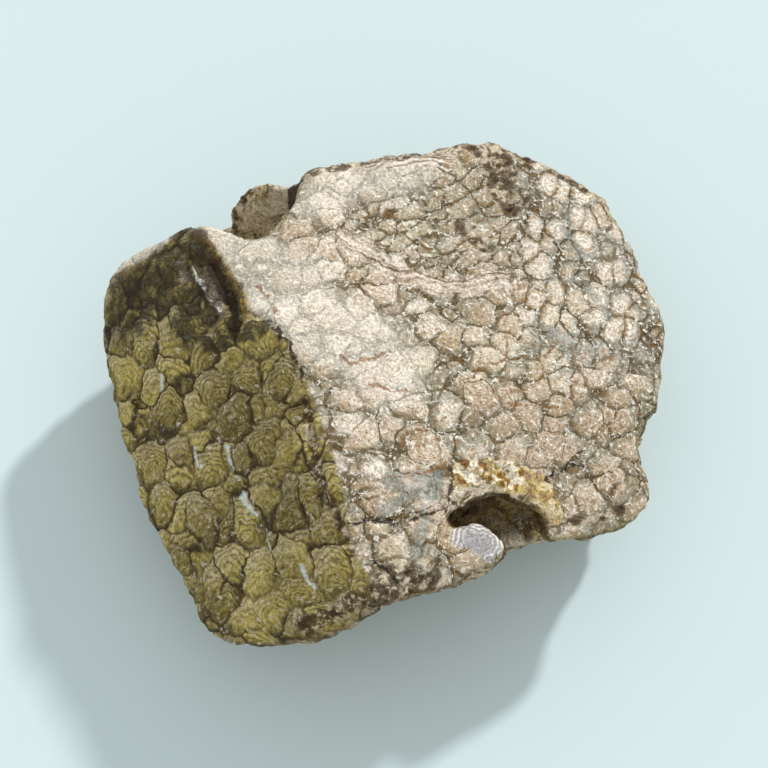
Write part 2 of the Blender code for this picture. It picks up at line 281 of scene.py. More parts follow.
def add(tree, kind, links=None, **settings):
    """Adds a node. A link fills an input, by name or number, with a node's output or with a plain value."""
    made = tree.nodes.new(kind)
    for name, value in settings.items():
        setattr(made, name, value)
    shown = [socket for socket in made.inputs if socket.enabled]
    for name, value in (links or {}).items():
        socket = shown[name] if isinstance(name, int) else made.inputs[name]
        if isinstance(value, bpy.types.Node):
            value = next(output for output in value.outputs if output.enabled)
        if isinstance(value, bpy.types.NodeSocket):
            tree.links.new(value, socket)
        else:
            socket.default_value = value
    return made


def settle(piece):
    """Makes the modified shape the piece's own mesh."""
    bpy.context.view_layer.update()
    graph = bpy.context.evaluated_depsgraph_get()
    mesh = bpy.data.meshes.new_from_object(piece.evaluated_get(graph))
    piece.modifiers.clear()
    piece.data = mesh


def smoothstep(low, high, values):
    """From 0 at low to 1 at high, with a smooth start and end."""
    share = np.clip((values - low) / (high - low), 0, 1)
    return share * share * (3 - 2 * share)


def lumps(places, size, seed):
    """Smooth noise at each place, about -1 to 1, with lumps of this size in millimetres."""
    shift = Vector((seed * 7.3, seed * -3.1, seed * 5.7))
    return np.array([noise.noise(Vector(place) / size + shift) for place in places])


def reach_of(places, points):
    """How far each place is from a line of points, as seen from above."""
    nearest = np.full(len(places), 1e9)
    for start, end in zip(points, points[1:]):
        start, end = np.array(start, float), np.array(end, float)
        along = end - start
        share = np.clip((places[:, :2] - start) @ along / (along @ along), 0, 1)
        nearest = np.minimum(nearest, np.linalg.norm(places[:, :2] - start - share[:, None] * along, axis=1))
    return nearest


def base_copy(sizes):
    """A closed copy of the CAD block with even faces."""
    mesh = bpy.data.meshes.new("stone")
    bm = bmesh.new()
    bm.from_mesh(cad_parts[NODE].data)
    bmesh.ops.remove_doubles(bm, verts=bm.verts, dist=1e-6)
    bm.to_mesh(mesh)
    bm.free()
    piece = bpy.data.objects.new("algal_limestone_block", mesh)
    bpy.context.scene.collection.objects.link(piece)
    step = piece.modifiers.new("even_mesh", "REMESH")
    step.mode = "VOXEL"
    step.voxel_size = sizes.base_mesh
    settle(piece)
    return piece


def smooth_and_split(piece):
    """Takes the facets out of the copy, and gives the two fresh fractures a finer mesh."""
    bm = bmesh.new()
    bm.from_mesh(piece.data)
    bm.normal_update()
    for facing, rounds in ((CROWN_FACING, 9), (FLANK_FACING, 9), (None, 2)):
        inner = [v for v in bm.verts if facing is None or v.normal.dot(facing) > 0.9]
        for _ in range(rounds):
            bmesh.ops.smooth_vert(
                bm, verts=inner, factor=0.5, use_axis_x=True, use_axis_y=True, use_axis_z=True
            )
    bm.normal_update()
    seen = [f for f in bm.faces if f.normal.z > 0.12 and f.calc_center_median().z > FINE_ABOVE]
    seen = {e for f in seen for e in f.edges}
    bmesh.ops.subdivide_edges(bm, edges=list(seen), cuts=1, use_grid_fill=True)
    bmesh.ops.triangulate(bm, faces=[f for f in bm.faces if len(f.verts) > 4])
    bm.normal_update()
    bm.to_mesh(piece.data)
    bm.free()


def read_mesh(piece):
    """Places in millimetres and normals of the mesh's vertices."""
    count = len(piece.data.vertices)
    places = np.empty(count * 3, dtype=np.float32)
    normals = np.empty(count * 3, dtype=np.float32)
    piece.data.vertices.foreach_get("co", places)
    piece.data.vertices.foreach_get("normal", normals)
    return places.reshape(-1, 3).astype(float) / MM, normals.reshape(-1, 3).astype(float)


def zones_of(places, normals):
    """How much of each zone and mark there is at every vertex."""
    crown = normals @ np.array(CROWN_FACING)
    flank = normals @ np.array(FLANK_FACING)
    wander = lumps(places, 2.2, 1)
    zones = {"flank": smoothstep(-0.1, 0.1, flank - crown)}
    # The lump behind the ridge is cut across, like the crown.
    zones["flank"] *= 1 - 0.5 * smoothstep(26, 28, places[:, 1]) * smoothstep(-32, -30, places[:, 0])
    zones["side"] = 1 - smoothstep(0.5, 0.75, np.maximum(crown, flank))
    rim = smoothstep(0, 0.9, places[:, 1] - np.interp(places[:, 0], *RIM) + wander * 0.4)
    rim *= smoothstep(35.8, 36.6, -places[:, 0]) * smoothstep(20, 26, places[:, 2] + wander)
    zones["flank"] *= 1 - rim
    zones["side"] *= 1 - rim
    up = smoothstep(0.15, 0.4, normals[:, 2])
    for name, marks in MARKS.items():
        zones[name] = np.zeros(len(places))
        for points, half, soft in marks:
            reach = reach_of(places, points) + wander * min(0.6, soft * 0.6)
            zones[name] = np.maximum(zones[name], up * (1 - smoothstep(half, half + soft, reach)))
    # The back rim is made pale too, partly as painted light.
    zones["pale"] = np.maximum(zones["pale"], 0.9 * rim)
    bowl = (places[:, :2] - BOWL_AT) / BOWL_HALF
    bowl = np.hypot(bowl[:, 0], bowl[:, 1]) + wander * 0.05
    right = smoothstep(20, 30, places[:, 0] + wander * 2) * smoothstep(-5, 6, places[:, 1])
    zones["bowl"] = up * (1 - smoothstep(0.75, 1.05, bowl))
    zones["right"] = up * right
    depth = HOLLOW_PLANE[0] - HOLLOW_PLANE[1] * places[:, 0] - places[:, 2]
    away = (places[:, :2] - NODULE_AT) / NODULE_HALF
    # The nodule's front side fades into the stone round it.
    fade = smoothstep(-1, -0.1, 0.3 * away[:, 0] + away[:, 1] + wander * 0.35)
    away = np.hypot(away[:, 0], away[:, 1]) + wander * 0.22
    zones["nodule"] = (1 - smoothstep(0.82, 1.02, away)) * (1 - smoothstep(3.4, 4.4, depth)) * fade
    (left, end), (front, back) = HOLLOW_REACH
    inside = smoothstep(left, left + 1.5, places[:, 0] + wander)
    inside *= smoothstep(-end, 1.5 - end, wander - places[:, 0])
    inside *= smoothstep(front, front + 2, places[:, 1] + wander)
    inside *= smoothstep(-back, 1 - back, -places[:, 1])
    depth += wander * 0.6
    deep = smoothstep(1.6, 3.2, depth) * (1 - smoothstep(HOLLOW_DEPTH, HOLLOW_DEPTH + 2.5, depth))
    zones["cavity"] = inside * deep * (1 - zones["nodule"])
    return zones


def relief_of(places, zones):
    """How far every vertex moves out of the plain shape, in millimetres."""
    fresh = 1 - zones["side"]
    medium = lumps(places, 2.6, 2)
    small = lumps(places, 1.2, 3)
    fine = lumps(places, 0.7, 4)
    move = fresh * (0.16 * medium + 0.12 * small + 0.07 * fine)
    move += zones["side"] * (0.25 * medium + 0.25 * small + 0.14 * fine)
    # The sides below the rim are hackly.
    low = zones["side"] * (1 - smoothstep(15, 22, places[:, 2]))
    move += low * (1.1 * lumps(places, 7, 5) + 0.5 * medium - 0.2)
    rough = np.maximum(zones["dark"], zones["cavity"])
    move += rough * (0.2 - 0.6 * np.abs(medium) - 1.2 * np.abs(small))
    move -= zones["nodule"] * 0.25 * medium
    for points, half, height in RELIEF:
        move += height * (1 - smoothstep(0.2 * half, 1.5 * half, reach_of(places, points) + 0.25 * small))
    return move * smoothstep(*BASE_FADE, places[:, 2])


def bend_place(tree, place):
    """Bends space by about a millimetre, because the heads are uneven. Gives the noise that bends it too."""
    middle = (0.5, 0.5, 0.5)
    lump = add(tree, "ShaderNodeTexNoise", {"Vector": place, "Scale": 1 / 5.5, "Detail": 1})
    crumb = add(tree, "ShaderNodeTexNoise", {"Vector": place, "Scale": 1 / 2, "Detail": 2, "Roughness": 0.55})
    bend = add(tree, "ShaderNodeVectorMath", {0: lump.outputs["Color"], 1: middle}, operation="SUBTRACT")
    bent = add(tree, "ShaderNodeVectorMath", {0: bend, 1: (3.6, 3.6, 3.6), 2: place}, operation="MULTIPLY_ADD")
    bend = add(tree, "ShaderNodeVectorMath", {0: crumb.outputs["Color"], 1: middle}, operation="SUBTRACT")
    bent = add(tree, "ShaderNodeVectorMath", {0: bend, 1: (1.5, 1.5, 1.5), 2: bent}, operation="MULTIPLY_ADD")
    return bent, lump, crumb


def cut_heads(tree, bent, shape):
    """Cuts bent space into algal heads. The shape is their turn, widths, root and the side of each head that is
    painted in shade.
    """
    turn, widths, root, shaded_side = shape
    local = {"Vector": bent, "Rotation": turn}
    local = add(tree, "ShaderNodeVectorRotate", local, rotation_type="EULER_XYZ", invert=True)
    local = add(tree, "ShaderNodeVectorMath", {0: local, 1: widths}, operation="DIVIDE")
    cell = {"Vector": local, "Scale": 1, "Randomness": 0.85}
    head = add(tree, "ShaderNodeTexVoronoi", cell)
    rim = add(tree, "ShaderNodeTexVoronoi", cell, feature="DISTANCE_TO_EDGE")
    edge = add(tree, "ShaderNodeMath", {0: rim, 1: widths[0]}, operation="MULTIPLY")
    arm = add(tree, "ShaderNodeVectorMath", {0: local, 1: head.outputs["Position"]}, operation="SUBTRACT")
    # How far a place lies towards the side of its head that is painted in shade.
    toward_shade = add(tree, "ShaderNodeVectorMath", {0: arm, 1: shaded_side}, operation="DOT_PRODUCT").outputs["Value"]
    # A layer grows from a root below the head's middle, and further out it follows the head's rim.
    arm = add(tree, "ShaderNodeVectorMath", {0: arm, 1: root}, operation="ADD")
    arm = add(tree, "ShaderNodeVectorMath", {0: arm}, operation="LENGTH").outputs["Value"]
    inward = add(tree, "ShaderNodeMath", {0: 0.5, 1: rim}, operation="SUBTRACT")
    grown = add(tree, "ShaderNodeMix", {0: 0.2, 1: arm, 2: inward})
    grown = add(tree, "ShaderNodeMath", {0: grown, 1: widths[0]}, operation="MULTIPLY")
    chance = add(tree, "ShaderNodeSeparateXYZ", {0: head.outputs["Color"]})
    return {
        "edge": edge,
        "grown": grown,
        "far": head.outputs["Distance"],
        "toward_shade": toward_shade,
        "tone": chance.outputs[0],
        "contrast": chance.outputs[1],
    }


def growth_layers(tree, grown, layer, wobble):
    """From 0 to 1 and back with each growth layer of this thickness in millimetres."""
    turn = add(tree, "ShaderNodeMath", {0: grown, 1: 2 * math.pi / layer, 2: wobble}, operation="MULTIPLY_ADD")
    wave = add(tree, "ShaderNodeMath", {0: turn}, operation="SINE")
    return add(tree, "ShaderNodeMapRange", {0: wave, 1: -0.3, 2: 1}, interpolation_type="SMOOTHSTEP")


def head_shapes(sizes):
    """The shapes of the heads in the crown, its bowl and its right part, and in the flank."""
    crown, flank = sizes.crown_head / MM, sizes.flank_head / MM
    # The last of each shape is the side of a head that is painted in shade; the other side gets a painted
    # highlight.
    return {
        "crown": ((0.15, 0.1, 0.5), (crown, crown * 0.78, crown * 1.5), (0, 0, 0.05), (-0.85, -0.5, 0)),
        "bowl": ((0.1, 0.1, 0.6), (crown * 0.85, crown * 0.5, crown * 1.3), (0, 0, 0), (-0.2, -1, 0)),
        "right": ((0.1, 0.1, -0.25), (crown * 0.66, crown * 0.85, crown * 1.3), (0, 0, 0), (-1, -0.3, 0)),
        "flank": ((0.18, -0.65, 0.2), (flank, flank * 0.95, flank * 1.6), (0.12, 0.42, 0), (0.2, -1, 0)),
    }


def heads_relief(sizes):
    """Geometry nodes that raise each head of the block, etch the seams between them, and raise the crystals."""
    tree = bpy.data.node_groups.new("heads_relief", "GeometryNodeTree")
    tree.interface.new_socket("Geometry", in_out="INPUT", socket_type="NodeSocketGeometry")
    tree.interface.new_socket("Geometry", in_out="OUTPUT", socket_type="NodeSocketGeometry")
    given = add(tree, "NodeGroupInput")
    zone = {}
    for name in ("flank", "side", "crystal", "raised"):
        zone[name] = add(tree, "GeometryNodeInputNamedAttribute", {"Name": name}, data_type="FLOAT")
    place = add(tree, "GeometryNodeInputPosition")
    place = add(tree, "ShaderNodeVectorMath", {0: place, "Scale": 1 / MM}, operation="SCALE")
    bent, _, crumb = bend_place(tree, place)
    shapes = head_shapes(sizes)
    crown = cut_heads(tree, bent, shapes["crown"])
    low = add(tree, "ShaderNodeMapRange", {0: crown["edge"], 1: 0, 2: 0.7, 3: -0.12, 4: 0.03})
    crown = add(tree, "ShaderNodeMath", {0: crown["toward_shade"], 1: -0.1, 2: low}, operation="MULTIPLY_ADD")
    flank = cut_heads(tree, bent, shapes["flank"])
    dome = {0: flank["edge"], 1: 0, 2: 1.6, 3: -0.22, 4: 0.08}
    dome = add(tree, "ShaderNodeMapRange", dome, interpolation_type="SMOOTHSTEP")
    dome = add(tree, "ShaderNodeMath", {0: flank["tone"], 1: 0.25, 2: dome}, operation="MULTIPLY_ADD")
    layers = growth_layers(tree, flank["grown"], 2 * sizes.flank_layer / MM, crumb)
    flank = add(tree, "ShaderNodeMath", {0: layers, 1: -0.1, 2: dome}, operation="MULTIPLY_ADD")
    along = add(tree, "ShaderNodeMath", {0: zone["side"], 1: 0.6}, operation="MULTIPLY")
    along = add(tree, "ShaderNodeMath", {0: zone["flank"], 1: along}, operation="MAXIMUM")
    height = add(tree, "ShaderNodeMix", {0: along, 1: crown, 2: flank})
    grain = add(tree, "ShaderNodeTexVoronoi", {"Vector": place, "Scale": 1 / 1.7})
    grain = add(tree, "ShaderNodeMapRange", {0: grain.outputs["Distance"], 1: 0, 2: 0.8, 3: 1, 4: -0.7})
    height = add(tree, "ShaderNodeMix", {0: zone["crystal"], 1: height, 2: grain})
    height = add(tree, "ShaderNodeMath", {0: height, 1: zone["raised"]}, operation="MULTIPLY")
    height = add(tree, "ShaderNodeMath", {0: height, 1: sizes.roughness * MM}, operation="MULTIPLY")
    normal = add(tree, "GeometryNodeInputNormal")
    offset = add(tree, "ShaderNodeVectorMath", {0: normal, "Scale": height}, operation="SCALE")
    moved = add(tree, "GeometryNodeSetPosition", {"Geometry": given, "Offset": offset})
    add(tree, "NodeGroupOutput", {0: moved})
    return tree


def carve(piece, sizes):
    """Gives the plain shape its relief, inside the CAD box, and stores the zones on its vertices."""
    places, normals = read_mesh(piece)
    zones = zones_of(places, normals)
    # The heads aren't raised on the underside, the nodule and the layered places.
    zones["raised"] = smoothstep(*BASE_FADE, places[:, 2]) * (1 - zones["nodule"]) * (1 - 0.8 * zones["layered"])
    places += normals * (relief_of(places, zones) * sizes.roughness)[:, None]
    piece.data.vertices.foreach_set("co", (places * MM).astype(np.float32).ravel())
    for name, values in zones.items():
        layer = piece.data.attributes.new(name, "FLOAT", "POINT")
        layer.data.foreach_set("value", values.astype(np.float32))
    piece.data.update()
    step = piece.modifiers.new("heads", "NODES")
    step.node_group = heads_relief(sizes)
    settle(piece)
    places, normals = read_mesh(piece)
    low, high = CAD_BOUNDS
    places = np.clip(places * MM, np.array(low), np.array(high))
    piece.data.vertices.foreach_set("co", places.astype(np.float32).ravel())
    piece.data.update()


def line_amount(tree, place, lines, soft, ragged):
    """1 on these lines, and 0 this many millimetres outside them, as seen from above. The noise frays them."""
    flat = add(tree, "ShaderNodeVectorMath", {0: place, 1: (1, 1, 0)}, operation="MULTIPLY")
    nearest = None
    for points, half in lines:
        for start, end in zip(points, points[1:]):
            start, end = Vector((*start, 0)), Vector((*end, 0))
            along = end - start
            arm = add(tree, "ShaderNodeVectorMath", {0: flat, 1: start}, operation="SUBTRACT")
            share = {0: arm, 1: along / along.length_squared}
            share = add(tree, "ShaderNodeVectorMath", share, operation="DOT_PRODUCT")
            share = add(tree, "ShaderNodeClamp", {0: share.outputs["Value"]})
            foot = add(tree, "ShaderNodeVectorMath", {0: along, "Scale": share}, operation="SCALE")
            reach = add(tree, "ShaderNodeVectorMath", {0: arm, 1: foot}, operation="DISTANCE").outputs["Value"]
            reach = add(tree, "ShaderNodeMath", {0: reach, 1: half}, operation="SUBTRACT")
            if nearest is not None:
                reach = add(tree, "ShaderNodeMath", {0: nearest, 1: reach}, operation="MINIMUM")
            nearest = reach
    nearest = add(tree, "ShaderNodeMath", {0: ragged, 1: 1.3, 2: nearest}, operation="MULTIPLY_ADD")
    amount = {0: nearest, 1: 0.05, 2: soft, 3: 1, 4: 0}
    return add(tree, "ShaderNodeMapRange", amount, interpolation_type="SMOOTHSTEP")


def blend(tree, amount, limits, share, under, over):
    """Lays a colour over another: none of it at the amount's first limit, and this share at its second."""
    low, high = limits
    amount = add(tree, "ShaderNodeMapRange", {0: amount, 1: low, 2: high, 3: 0, 4: share})
    return add(tree, "ShaderNodeMix", {0: amount, 1: under, 2: over}, data_type="RGBA")


def within(tree, amount, limits, zone):
    """How far the amount is from the first limit to the second, in this zone alone."""
    share = add(tree, "ShaderNodeMapRange", {0: amount, 1: limits[0], 2: limits[1]})
    return add(tree, "ShaderNodeMath", {0: share, 1: zone}, operation="MULTIPLY")


def shared_noises(tree, place):
    """The bent space and the noises that the colours share."""
    bent, lump, crumb = bend_place(tree, place)
    broad = add(tree, "ShaderNodeTexNoise", {"Vector": place, "Scale": 1 / 14, "Detail": 2})
    # Calcite grains are about 0.1 mm wide. Here they are drawn 0.3 to 0.8 mm wide, so that they show.
    grain = add(tree, "ShaderNodeTexNoise", {"Vector": place, "Scale": 1 / 0.5, "Detail": 2, "Roughness": 0.8})
    fleck = add(tree, "ShaderNodeTexNoise", {"Vector": bent, "Scale": 1 / 0.85, "Detail": 3, "Roughness": 0.75})
    speck = add(tree, "ShaderNodeSeparateXYZ", {0: grain.outputs["Color"]}).outputs[1]
    wobble = add(tree, "ShaderNodeMath", {0: crumb, 1: 6}, operation="MULTIPLY")
    ragged = add(tree, "ShaderNodeMath", {0: crumb, 1: fleck}, operation="ADD")
    ragged = add(tree, "ShaderNodeMath", {0: ragged, 1: 1}, operation="SUBTRACT")
    return {
        "place": place,
        "bent": bent,
        "lump": lump,
        "crumb": crumb,
        "broad": broad,
        "grain": grain,
        "fleck": fleck,
        "speck": speck,
        "wobble": wobble,
        "ragged": ragged,
    }


def crown_heads(tree, bent, heads, zone):
    """The crown's heads, with those of its bowl and right part, and the heads whose layers show best."""
    crown = dict(heads["crown"])
    for part in ("bowl", "right"):
        inside = add(tree, "ShaderNodeMath", {0: zone[part], 1: 0.5}, operation="GREATER_THAN")
        for name in crown:
            crown[name] = add(tree, "ShaderNodeMix", {0: inside, 1: crown[name], 2: heads[part][name]})
    eye = None
    for middle in EYES:
        reach = add(tree, "ShaderNodeVectorMath", {0: bent, 1: middle}, operation="DISTANCE").outputs["Value"]
        eye = reach if eye is None else add(tree, "ShaderNodeMath", {0: eye, 1: reach}, operation="MINIMUM")
    inside = add(tree, "ShaderNodeMath", {0: eye, 1: EYE_REACH}, operation="LESS_THAN")
    eye_edge = add(tree, "ShaderNodeMath", {0: EYE_REACH, 1: eye}, operation="SUBTRACT")
    for name, value in (("edge", eye_edge), ("grown", eye), ("far", 0.0), ("contrast", 1.0), ("toward_shade", 0.0)):
        crown[name] = add(tree, "ShaderNodeMix", {0: inside, 1: crown[name], 2: value})
    return crown


def crown_colour(tree, sizes, tone, zone, noises, crown):
    """The crown: pink to cream. Each head has a painted highlight on its upper right and painted shade on its
    lower left.
    """
    stone = blend(tree, noises["broad"], (0.4, 0.6), 1, tone["pink"], tone["cream"])
    stone = blend(tree, crown["tone"], (0.4, 1), 0.55, stone, tone["tan"])
    stone = blend(tree, crown["tone"], (0.35, 0), 0.6, stone, tone["white"])
    # Painted highlight on each head's upper right, then painted shade on its lower left.
    stone = blend(tree, crown["toward_shade"], (0, -0.5), 0.45, stone, tone["white"])
    shaded = add(tree, "ShaderNodeMath", {0: noises["crumb"], 1: 0.8, 2: crown["toward_shade"]}, operation="MULTIPLY_ADD")
    stone = blend(tree, shaded, (0.5, 0.95), 0.65, stone, tone["tan"])
    stone = blend(tree, zone["bowl"], (0, 1), 0.42, stone, tone["matrix"])
    # Painted shade that turns the crown tan towards the right, and brown clouds.
    across = add(tree, "ShaderNodeSeparateXYZ", {0: noises["place"]})
    stone = blend(tree, across, (2, 45), 0.35, stone, tone["tan"])
    stone = blend(tree, noises["ragged"], (0.06, 0.2), 0.4, stone, tone["layer"])
    # The heads of the right part have white hearts.
    heart = within(tree, crown["edge"], (0.4, 1), zone["right"])
    heart = add(tree, "ShaderNodeMath", {0: heart, 1: crown["contrast"]}, operation="MULTIPLY")
    stone = blend(tree, heart, (0, 1), 0.9, stone, tone["white"])
    # Thin red-brown layers, strong in a few heads.
    layers = growth_layers(tree, crown["grown"], sizes.crown_layer / MM, noises["wobble"])
    clear = add(tree, "ShaderNodeMapRange", {0: crown["contrast"], 1: 0.3, 2: 1, 3: 0.08, 4: 0.55})
    clear = add(tree, "ShaderNodeMath", {0: zone["bowl"], 1: -0.4, 2: clear}, operation="MULTIPLY_ADD")
    layers = add(tree, "ShaderNodeMath", {0: layers, 1: clear}, operation="MULTIPLY")
    stone = blend(tree, layers, (0, 1), 1, stone, tone["layer"])
    # Grey stone between the heads, and dark seams that are wider on a head's painted-shade side and worn in
    # places.
    between = blend(tree, zone["right"], (0, 1), 0.8, tone["matrix"], tone["chalcedony"])
    stone = blend(tree, crown["far"], (0.47, 0.6), 0.75, stone, between)
    thick = add(tree, "ShaderNodeMapRange", {0: zone["right"], 1: 0, 2: 1, 3: 1.05, 4: 0.6})
    thick = add(tree, "ShaderNodeMapRange", {0: shaded, 1: 0.25, 2: 0.9, 3: 0.26, 4: thick})
    seam = {0: crown["edge"], 1: 0.04, 2: thick, 3: 1, 4: 0}
    seam = add(tree, "ShaderNodeMapRange", seam, interpolation_type="SMOOTHSTEP")
    worn = add(tree, "ShaderNodeMapRange", {0: noises["lump"], 1: 0.36, 2: 0.58, 3: 0.5, 4: 1})
    net = add(tree, "ShaderNodeMapRange", {0: shaded, 1: 0, 2: 0.5, 3: 0.6, 4: 1})
    net = add(tree, "ShaderNodeMath", {0: net, 1: zone["bowl"]}, operation="MULTIPLY")
    worn = add(tree, "ShaderNodeMath", {0: worn, 1: net}, operation="MAXIMUM")
    seam = add(tree, "ShaderNodeMath", {0: seam, 1: worn}, operation="MULTIPLY")
    stone = blend(tree, seam, (0, 1), 1, stone, tone["seam"])
    # Rusty and white flecks.
    stone = blend(tree, noises["fleck"], (0.45, 0.36), 0.75, stone, tone["layer"])
    stone = blend(tree, noises["fleck"], (0.54, 0.63), 0.8, stone, tone["white"])
    stone = blend(tree, noises["speck"], (0.62, 0.68), 0.6, stone, tone["rust"])
    # Painted light: the pale marks lighten the crown towards white.
    return blend(tree, zone["pale"], (0, 1), 0.36, stone, tone["white"])


def flank_colour(tree, sizes, tone, zone, noises, flank):
    """The flank is olive, and the hidden sides are tan and pink. Both have strong layers and broad seams, and each
    head has a painted highlight on one side and painted shade on the other.
    """
    patchy = add(tree, "ShaderNodeMapRange", {0: noises["broad"], 1: 0.42, 2: 0.58, 3: 0.15, 4: 0.85})
    stone = blend(tree, patchy, (0, 1), 1, tone["tan"], tone["pink"])
    stone = blend(tree, zone["side"], (0, 1), 0.8, tone["olive"], stone)
    stone = blend(tree, flank["tone"], (0.35, 1), 0.6, stone, tone["umber"])
    # Painted highlight on one side of each head, then painted shade on the other.
    stone = blend(tree, flank["toward_shade"], (0, -0.5), 0.36, stone, tone["cream"])
    stone = blend(tree, noises["broad"], (0.46, 0.6), 0.4, stone, tone["umber"])
    shaded = add(tree, "ShaderNodeMath", {0: noises["crumb"], 1: 0.8, 2: flank["toward_shade"]}, operation="MULTIPLY_ADD")
    stone = blend(tree, shaded, (0.45, 0.95), 0.45, stone, tone["umber"])
    layers = growth_layers(tree, flank["grown"], sizes.flank_layer / MM, noises["wobble"])
    clear = add(tree, "ShaderNodeMapRange", {0: flank["contrast"], 1: 0, 2: 0.8, 3: 0.35, 4: 0.7})
    layers = add(tree, "ShaderNodeMath", {0: layers, 1: clear}, operation="MULTIPLY")
    stone = blend(tree, layers, (0, 1), 1, stone, tone["umber"])
    stone = blend(tree, noises["fleck"], (0.54, 0.64), 0.6, stone, tone["cream"])
    stone = blend(tree, noises["fleck"], (0.44, 0.34), 0.6, stone, tone["flank_seam"])
    # The seams are wider where the painted shade falls.
    thick = add(tree, "ShaderNodeMapRange", {0: shaded, 1: 0.2, 2: 0.9, 3: 0.25, 4: 1.2})
    seam = {0: flank["edge"], 1: 0.05, 2: thick, 3: 0.95, 4: 0}
    seam = add(tree, "ShaderNodeMapRange", seam, interpolation_type="SMOOTHSTEP")
    worn = add(tree, "ShaderNodeMapRange", {0: noises["lump"], 1: 0.4, 2: 0.58, 3: 0.4, 4: 1})
    seam = add(tree, "ShaderNodeMath", {0: seam, 1: worn}, operation="MULTIPLY")
    stone = blend(tree, seam, (0, 1), 1, stone, tone["flank_seam"])
    return blend(tree, noises["speck"], (0.62, 0.68), 0.5, stone, tone["rust"])


def reach_round(tree, bent, middle, stretch):
    """How far each place is from this middle, with each direction stretched by its own factor."""
    away = add(tree, "ShaderNodeVectorMath", {0: bent, 1: middle}, operation="SUBTRACT")
    away = add(tree, "ShaderNodeVectorMath", {0: away, 1: stretch}, operation="MULTIPLY")
    return add(tree, "ShaderNodeVectorMath", {0: away}, operation="LENGTH").outputs["Value"]


def layered_colour(tree, tone, noises):
    """The flat layers along the edge of the bowl, which follow it round."""
    away = reach_round(tree, noises["bent"], BOWL_LAYERS_AT, (0.62, 1, 0.2))
    band = add(tree, "ShaderNodeTexNoise", {"W": away, "Scale": 1.7, "Detail": 3}, noise_dimensions="1D")
    dashed = add(tree, "ShaderNodeMath", {0: noises["crumb"], 1: 0.8, 2: band}, operation="MULTIPLY_ADD")
    strip = blend(tree, dashed, (0.86, 0.72), 1, tone["pink"], tone["seam"])
    return blend(tree, dashed, (0.94, 1.05), 0.9, strip, tone["white"])


def agate_colour(tree, tone, noises):
    """The nodule is banded agate: a grey heart, then thin white bands that follow its wavy rim."""
    away = reach_round(tree, noises["bent"], NODULE_BANDS_AT, (0.8, 1, 0.2))
    bands = growth_layers(tree, away, 0.8, noises["wobble"])
    outer = add(tree, "ShaderNodeMapRange", {0: away, 1: 1.6, 2: 3.2, 3: 0.1, 4: 0.85})
    bands = add(tree, "ShaderNodeMath", {0: bands, 1: outer}, operation="MULTIPLY")
    agate = blend(tree, bands, (0, 1), 1, tone["agate"], tone["white"])
    return blend(tree, noises["fleck"], (0.47, 0.36), 0.5, agate, tone["tan"])


def with_marks(tree, tone, zone, noises, stone):
    """Lays the ragged marks, the crystals, the crumbled places and the hollow's walls on the stone. Some of it is
    painted light and shade: the lump's cream, the soft darkening of the upper flank and the hollow's dark walls.
    """
    crumb, ragged = noises["crumb"], noises["ragged"]
    # Painted shade: a soft darkening of the upper flank and under the ledge, beneath the blotches.
    stone = blend(tree, zone["soot_and_shade"], (0, 1), 0.4, stone, tone["soot_and_shade"])
    # Each mark's colour, how ragged it is and how strong.
    marks = (
        # The lump's cream is painted light.
        ("lump", "cream", 4, 0.6),
        ("dark", "shade", 6, 0.7),
        ("chalcedony", "chalcedony", 4, 0.6),
        ("soot_and_shade", "soot_and_shade", 6, 0.75),
        ("honey", "crystal", 4, 0.85),
        ("crystal", "crystal", 5, 0.85),
    )
    for name, colour, raggedness, strength in marks:
        amount = add(tree, "ShaderNodeMath", {0: ragged, 1: raggedness, 2: 1}, operation="MULTIPLY_ADD")
        amount = add(tree, "ShaderNodeMath", {0: amount, 1: zone[name]}, operation="MULTIPLY")
        stone = blend(tree, amount, (0.35, 0.75), strength, stone, tone[colour])
    grains = add(tree, "ShaderNodeMath", {0: zone["honey"], 1: 0.45, 2: zone["crystal"]}, operation="MULTIPLY_ADD")
    # Spots: the noise and its limits, where they are, their strength and their colour.
    spots = (
        (crumb, (0.5, 0.55), grains, 0.75, "white"),
        (ragged, (-0.02, -0.1), zone["dark"], 0.85, "cream"),
        (ragged, (0.04, 0.14), zone["dark"], 0.75, "soot_and_shade"),
        (crumb, (0.45, 0.41), grains, 0.9, "rust"),
    )
    for amount, limits, where, strength, colour in spots:
        amount = within(tree, amount, limits, where)
        stone = blend(tree, amount, (0, 1), strength, stone, tone[colour])
    # Painted shade: the hollow's walls are their own brown, darkened further.
    wall = blend(tree, crumb, (0.5, 0.6), 0.3, tone["shade"], tone["crystal"])
    return blend(tree, zone["cavity"], (0, 1), 0.9, stone, wall)


